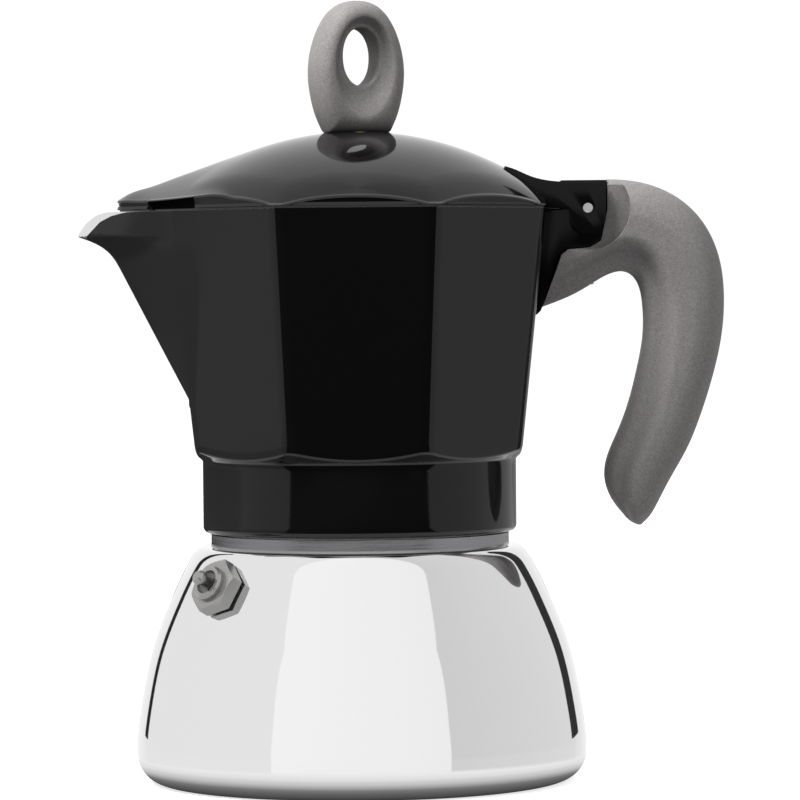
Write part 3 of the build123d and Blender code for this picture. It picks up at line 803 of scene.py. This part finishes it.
def join(mat, source, target):
    """Link one socket to another."""
    mat.node_tree.links.new(source, target)


def noise(mat, scale, detail=3.0, stretch=(1, 1, 1)):
    """Noise in the object's own metres, stretched along its axes."""
    place = node(mat, "ShaderNodeTexCoord")
    mapping = node(mat, "ShaderNodeMapping")
    mapping.inputs["Scale"].default_value = stretch
    texture = node(mat, "ShaderNodeTexNoise", Scale=scale, Detail=detail)
    join(mat, place.outputs["Object"], mapping.inputs["Vector"])
    join(mat, mapping.outputs["Vector"], texture.inputs["Vector"])
    return texture.outputs["Fac"]


def span(mat, source, low, high, from_low=0.3, from_high=0.7):
    """Map a 0 to 1 signal on to a range."""
    ramp = node(mat, "ShaderNodeMapRange")
    ramp.inputs["From Min"].default_value = from_low
    ramp.inputs["From Max"].default_value = from_high
    ramp.inputs["To Min"].default_value = low
    ramp.inputs["To Max"].default_value = high
    join(mat, source, ramp.inputs["Value"])
    return ramp.outputs["Result"]


def bump(mat, source, strength, distance):
    """Relief on the shader's normal from a signal."""
    shader = mat.node_tree.nodes["Principled BSDF"]
    relief = node(mat, "ShaderNodeBump", Strength=strength, Distance=distance)
    join(mat, source, relief.inputs["Height"])
    join(mat, relief.outputs["Normal"], shader.inputs["Normal"])


def rough(mat, source):
    """Drive the shader's roughness from a signal."""
    join(mat, source, mat.node_tree.nodes["Principled BSDF"].inputs["Roughness"])


BLACK = (0.0022, 0.0018, 0.0022)


def enamel():
    """Gloss black paint with a faint warm cast and a little orange peel."""
    mat = material("black_enamel", BLACK, roughness=0.07, IOR=1.5)
    rough(mat, span(mat, noise(mat, 60), 0.05, 0.09))
    bump(mat, noise(mat, 900, 1.0), 0.02, 0.0002)
    return mat


def hinge_enamel():
    """The same paint on the hinge, where the casting is rougher and duller."""
    return material("hinge_enamel", BLACK, roughness=0.2, Specular_IOR_Level=0.17)


def steel():
    """Mirror-polished steel with the fine turning marks that run round the cup."""
    mat = material("polished_steel", (0.95, 0.95, 0.955), metallic=1.0, roughness=0.035)
    rough(mat, span(mat, noise(mat, 400, 4.0, (1, 1, 12)), 0.025, 0.055))
    return mat


def satin_aluminium():
    """Satin aluminium of the funnel, the filter and the insides."""
    mat = material("bare_aluminium", (0.74, 0.74, 0.75), metallic=1.0, roughness=0.32)
    rough(mat, span(mat, noise(mat, 500, 4.0, (1, 1, 8)), 0.25, 0.4))
    bump(mat, noise(mat, 700, 3.0, (0.4, 0.4, 6)), 0.08, 0.0001)
    return mat


def shade_darkened_aluminium():
    """Machined aluminium of the lining and neck, its colour set darker than the other aluminium as painted
    shade where the neck sits under the collar.
    """
    mat = material("shade_darkened_aluminium", (0.36, 0.36, 0.37), metallic=1.0, roughness=0.3)
    rough(mat, span(mat, noise(mat, 260, 3.0, (0.3, 0.3, 14)), 0.22, 0.36))
    return mat


def ground_lip():
    """Edge of the spout, ground bright through the paint."""
    mat = material("ground_lip", (0.93, 0.93, 0.935), metallic=1.0, roughness=0.16)
    rough(mat, span(mat, noise(mat, 900, 2.0), 0.11, 0.22))
    return mat


def soft_grey():
    """Soft-touch grey plastic with a fine metallic speckle."""
    mat = material("soft_grey", (0.165, 0.157, 0.155), roughness=0.5, IOR=1.45)
    shader = mat.node_tree.nodes["Principled BSDF"]
    place = node(mat, "ShaderNodeTexCoord")
    flake = node(mat, "ShaderNodeTexVoronoi", Scale=4200.0)
    join(mat, place.outputs["Object"], flake.inputs["Vector"])
    bright = node(mat, "ShaderNodeSeparateColor")
    join(mat, flake.outputs["Color"], bright.inputs["Color"])
    # The colour mix keeps its two colours on sockets 6 and 7 and its result on 2.
    tone = node(mat, "ShaderNodeMix", data_type="RGBA")
    tone.inputs[6].default_value = (0.128, 0.121, 0.119, 1)
    tone.inputs[7].default_value = (0.208, 0.198, 0.195, 1)
    join(mat, bright.outputs["Red"], tone.inputs[0])
    join(mat, tone.outputs[2], shader.inputs["Base Color"])
    rough(mat, span(mat, bright.outputs["Green"], 0.42, 0.58, 0.0, 1.0))
    bump(mat, noise(mat, 3200, 2.0), 0.10, 0.0001)
    return mat


def bright_steel():
    """Bright steel of the pin, the screws and the spring."""
    mat = material("bright_steel", (0.62, 0.62, 0.63), metallic=1.0, roughness=0.24)
    rough(mat, span(mat, noise(mat, 900, 3.0), 0.18, 0.32))
    return mat


def nickel():
    """Nickel plate of the safety valve."""
    mat = material("valve_nickel", (0.34, 0.335, 0.33), metallic=0.85, roughness=0.18)
    rough(mat, span(mat, noise(mat, 1300, 3.0), 0.15, 0.26))
    bump(mat, noise(mat, 1800, 2.0), 0.03, 0.0001)
    return mat


def rubber(name, base):
    """Matt rubber with a fine grain."""
    mat = material(name, base, roughness=0.62)
    bump(mat, noise(mat, 1500, 2.0), 0.15, 0.0001)
    return mat


def brass():
    """Brass of the knob's insert."""
    mat = material("brass", (0.72, 0.52, 0.22), metallic=1.0, roughness=0.28)
    rough(mat, span(mat, noise(mat, 900, 3.0), 0.2, 0.36))
    return mat


def paint(obj, *mats):
    """Give an object its materials, leaving which faces take which as it is."""
    mesh = obj.data
    index = np.zeros(len(mesh.polygons), dtype=np.int32)
    mesh.polygons.foreach_get("material_index", index)
    mesh.materials.clear()
    for mat in mats:
        mesh.materials.append(mat)
    mesh.polygons.foreach_set("material_index", index)


# ---------------------------------------------------------------- the studio

def glow(name, strength=1.0):
    """White emission of even strength."""
    mat = bpy.data.materials.new(name)
    mat.use_nodes = True
    nodes = mat.node_tree.nodes
    nodes.clear()
    emission = nodes.new("ShaderNodeEmission")
    emission.inputs["Color"].default_value = (1, 1, 1, 1)
    emission.inputs["Strength"].default_value = strength
    output = nodes.new("ShaderNodeOutputMaterial")
    mat.node_tree.links.new(emission.outputs["Emission"], output.inputs["Surface"])
    return mat


def light_up(obj, levels):
    """Make an object a card whose glow at each of its points is given in levels."""
    mat = glow(obj.name)
    level = obj.data.attributes.new("level", "FLOAT", "POINT")
    level.data.foreach_set("value", levels)
    source = node(mat, "ShaderNodeAttribute", attribute_name="level")
    join(mat, source.outputs["Fac"], mat.node_tree.nodes["Emission"].inputs["Strength"])
    paint(obj, mat)
    only_in_gloss(obj)
    return mat


def only_in_gloss(obj):
    """A card that shows in reflections and nowhere else."""
    obj.visible_camera = False
    obj.visible_diffuse = False
    obj.visible_shadow = False
    obj.visible_transmission = False
    obj.visible_volume_scatter = False


# Brightness of the table all round the pot.
PALE = 0.86
# Radius, height, splay and paleness of each level of the cards.
WALL_STOPS = ((2.6, -0.6, 0.0, 1.0), (2.6, -0.3, 0.0, 0.15), (2.6, -0.1, 0.0, 0.0), (2.6, 1.5, 0.0, 0.0),
              (2.6, 2.8, 1.0, 0.0), (0.02, 6.5, 1.0, 0.0))
# Angles of the seams between the cards: front to side, and side to back.
EDGE = 45.8
BACK = 140


def splay(angle, share):
    """Card edges either side of the front open out by some nine degrees towards the top."""
    size = abs(angle)
    grown = size * 1.19 if size <= EDGE else size + 8.7 * (BACK - size) / (BACK - EDGE)
    return math.copysign(size + (grown - size) * share, angle) if size < BACK else angle


def sweep_card(name, start, end, strength, stops=WALL_STOPS):
    """Bright card over one sector round the pot: from below the floor, up the wall and in overhead.

    Angles are in degrees from the front, clockwise from above. strength is one number, or the
    two numbers at the sector's start and end.
    """
    first, last = strength if isinstance(strength, tuple) else (strength, strength)
    count = int(abs(end - start) / 3) + 3
    angles = np.linspace(start, end, count)
    vertices = []
    for r, z, share, _ in stops:
        turned = [math.radians(splay(angle, share)) for angle in angles]
        vertices += [(-r * math.sin(a), -r * math.cos(a), z) for a in turned]
    faces = [(m * count + k, m * count + k + 1, m * count + k + 1 + count, m * count + k + count)
             for m in range(len(stops) - 1) for k in range(count - 1)]
    obj = link(name, vertices, faces)
    base = first + (last - first) * np.linspace(0, 1, count)
    light_up(obj, np.concatenate([base + (PALE - base) * pale for *_, pale in stops]))


# Brightness of the level table card by angle from the front, clockwise from above.
TABLE_LEVELS = ((-175, 0.3), (-150.5, 0.3), (-149.5, 0.5), (-50.5, 0.5), (-49.5, 0.05), (49.5, 0.05),
                (50.5, 0.5), (90, 0.5), (96, 0.36), (104, 0.3), (120, 0.19), (140, 0.1), (152, 0.065),
                (165, 0.04), (185, 0.02))


TABLE_Z = 0.045


def table_card():
    """Level card seen only from above: it darkens what the leaning walls mirror."""
    angles = np.arange(-175, 185.5, 0.5)
    turned = np.radians(angles)
    around = np.interp(angles, *zip(*TABLE_LEVELS))
    shaded = np.where(angles > 50, 0.7, 1.0)
    rings = ((0.09, shaded), (0.19, shaded), (0.24, 1.0), (2.55, 1.0))
    vertices = [(-r * math.sin(a), -r * math.cos(a), TABLE_Z) for r, _ in rings for a in turned]
    n = len(angles)
    faces = [(m * n + k + 1, m * n + k, m * n + k + n, m * n + k + 1 + n)
             for m in range(len(rings) - 1) for k in range(n - 1)]
    obj = link("table_card", vertices, faces)
    if obj.data.polygons[0].normal.z < 0:
        obj.data.flip_normals()
    mat = light_up(obj, np.concatenate([around * factor for _, factor in rings]))
    nodes = mat.node_tree.nodes
    clear = nodes.new("ShaderNodeBsdfTransparent")
    side = nodes.new("ShaderNodeNewGeometry")
    pick = nodes.new("ShaderNodeMixShader")
    join(mat, side.outputs["Backfacing"], pick.inputs["Fac"])
    join(mat, nodes["Emission"].outputs["Emission"], pick.inputs[1])
    join(mat, clear.outputs["BSDF"], pick.inputs[2])
    join(mat, pick.outputs["Shader"], nodes["Material Output"].inputs["Surface"])


# Radius, height and brightness of what lies under the foot.
NEAR_LEVELS = ((0.02, -0.0003, 0.03), (0.0495, -0.0003, 0.045), (0.0525, -0.0003, 0.12),
               (0.0542, -0.0003, 0.19), (0.0556, -0.0003, 0.36), (0.058, -0.0003, 0.57),
               (0.064, -0.0003, 0.77), (0.08, -0.0003, 0.86))
FAR_LEVELS = ((0.02, -1.6, 0.86), (2.6, -0.6, 0.86))


def under_card(name, levels):
    """What the foot mirrors of the table: pale, and darker where the pot's own base shades it."""
    n = 192
    angles = 2 * np.pi * np.arange(n) / n
    vertices = [(r * math.cos(a), r * math.sin(a), z) for r, z, _ in levels for a in angles]
    faces = [(m * n + k, m * n + (k + 1) % n, (m + 1) * n + (k + 1) % n, (m + 1) * n + k)
             for m in range(len(levels) - 1) for k in range(n)]
    obj = link(name, vertices, faces)
    light_up(obj, np.repeat([value for *_, value in levels], n))


def area_light(name, place, target, width, height, power):
    """Rectangular lamp aimed at a point, which no surface mirrors."""
    lamp = bpy.data.lights.new(name, "AREA")
    lamp.shape = "RECTANGLE"
    lamp.size = width
    lamp.size_y = height
    lamp.energy = power
    obj = bpy.data.objects.new(name, lamp)
    obj.location = place
    obj.rotation_euler = (Vector(target) - Vector(place)).to_track_quat("-Z", "Y").to_euler()
    bpy.context.scene.collection.objects.link(obj)
    obj.visible_glossy = False


def studio():
    """Pale floor and backdrop, two lamps, and the cards that the steel and the paint mirror."""
    floor = link("floor", [(-6, -6, 0), (6, -6, 0), (6, 6, 0), (-6, 6, 0)], [(0, 1, 2, 3)], smooth=False)
    white = material("pale_floor", (0.8, 0.8, 0.805), roughness=0.9)
    shader = white.node_tree.nodes["Principled BSDF"]
    shader.inputs["Emission Color"].default_value = (1, 1, 1, 1)
    shader.inputs["Emission Strength"].default_value = 0.68
    paint(floor, white)
    floor.visible_diffuse = False
    floor.visible_glossy = False
    bpy.ops.mesh.primitive_uv_sphere_add(segments=48, ring_count=24, radius=7.0)
    backdrop = bpy.context.active_object
    backdrop.name = "backdrop"
    paint(backdrop, glow("backdrop", 1.05))
    only_in_gloss(backdrop)
    backdrop.visible_camera = True
    backdrop.visible_glossy = False
    world = bpy.data.worlds.new("studio")
    world.use_nodes = True
    world.node_tree.nodes["Background"].inputs["Color"].default_value = (1, 1, 1, 1)
    world.node_tree.nodes["Background"].inputs["Strength"].default_value = 0.5
    bpy.context.scene.world = world
    flag = ((2.58, -0.1, 0.0, 0.0), (2.58, 2.1, 0.0, 0.0))
    sweep_card("front_card", -EDGE, EDGE, (0.88, 0.93))
    sweep_card("left_card", EDGE, BACK, (0.81, 0.80))
    sweep_card("right_card", -BACK, -EDGE, (0.72, 0.63))
    sweep_card("back_left_card", BACK, 180, (0.80, 1.0))
    sweep_card("back_right_card", 180, 360 - BACK, (1.0, 0.75))
    sweep_card("left_flag", 140.5, 146.0, 0.02, flag)
    sweep_card("right_flag", -146, -135, 0.03, flag)
    table_card()
    under_card("under_near", NEAR_LEVELS)
    under_card("under_far", FAR_LEVELS)
    area_light("key", (-0.5, -0.3, 0.95), (0, 0, 0.12), 0.5, 0.5, 25)
    area_light("fill", (1.2, -0.9, 0.5), (0, 0, 0.1), 0.8, 0.8, 3)


def camera():
    """Long lens at the level of the lid's knuckle, a little to the right of the axis."""
    lens = bpy.data.cameras.new("camera")
    lens.lens = 209.6
    lens.sensor_width = 36.0
    lens.clip_start = 0.05
    lens.clip_end = 50
    obj = bpy.data.objects.new("camera", lens)
    obj.location = (0.01005, -1.139, 0.122)
    tilt = Matrix.Rotation(math.radians(90 - 1.462), 4, "X")
    roll = Matrix.Rotation(math.radians(-0.52), 4, "Z")
    obj.rotation_euler = (tilt @ roll).to_euler()
    bpy.context.scene.collection.objects.link(obj)
    bpy.context.scene.camera = obj


# ---------------------------------------------------------------- put together

black = enamel()
dull_black = hinge_enamel()
shadow_black = material("shadow_black", (0.002, 0.002, 0.002), roughness=0.8, Specular_IOR_Level=0.02)
mirror = steel()
aluminium = satin_aluminium()
grey = soft_grey()
silver = bright_steel()
valve_metal = nickel()
lining = shade_darkened_aluminium()
lip = ground_lip()
dark_rubber = rubber("dark_rubber", (0.012, 0.012, 0.012))
pale_rubber = rubber("pale_rubber", (0.72, 0.71, 0.67))
yellow_metal = brass()

paint(boiler_shell(), mirror)
paint(collector_skin(), black, aluminium, lip)
paint(column(), aluminium)
paint(collar_thread(), aluminium)
paint(hinge_lug(), dull_black)
paint(lid_skin(), black, aluminium, shadow_black)
paint(hinge_arm(), dull_black)
paint(handle_skin(), grey)
paint(knob_skin(), grey)

FINISHES = {
    "boiler_liner": lining, "valve_body": valve_metal, "valve_washer": dark_rubber,
    "valve_nut": valve_metal, "valve_spring": silver, "valve_retainer": silver,
    "valve_stem": valve_metal, "valve_seal": dark_rubber, "funnel": aluminium,
    "funnel_screen": aluminium, "filter_plate": aluminium, "gasket": pale_rubber,
    "handle_screw": silver, "hinge_pin": silver, "knob_insert": yellow_metal,
    "knob_screw": silver, "knob_washer": silver,
}
for name, finish in FINISHES.items():
    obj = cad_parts[name]
    for place in obj.material_slots:
        place.material = finish
    shade(obj, 30)

studio()
camera()
bpy.context.scene.view_settings.view_transform = "Standard"
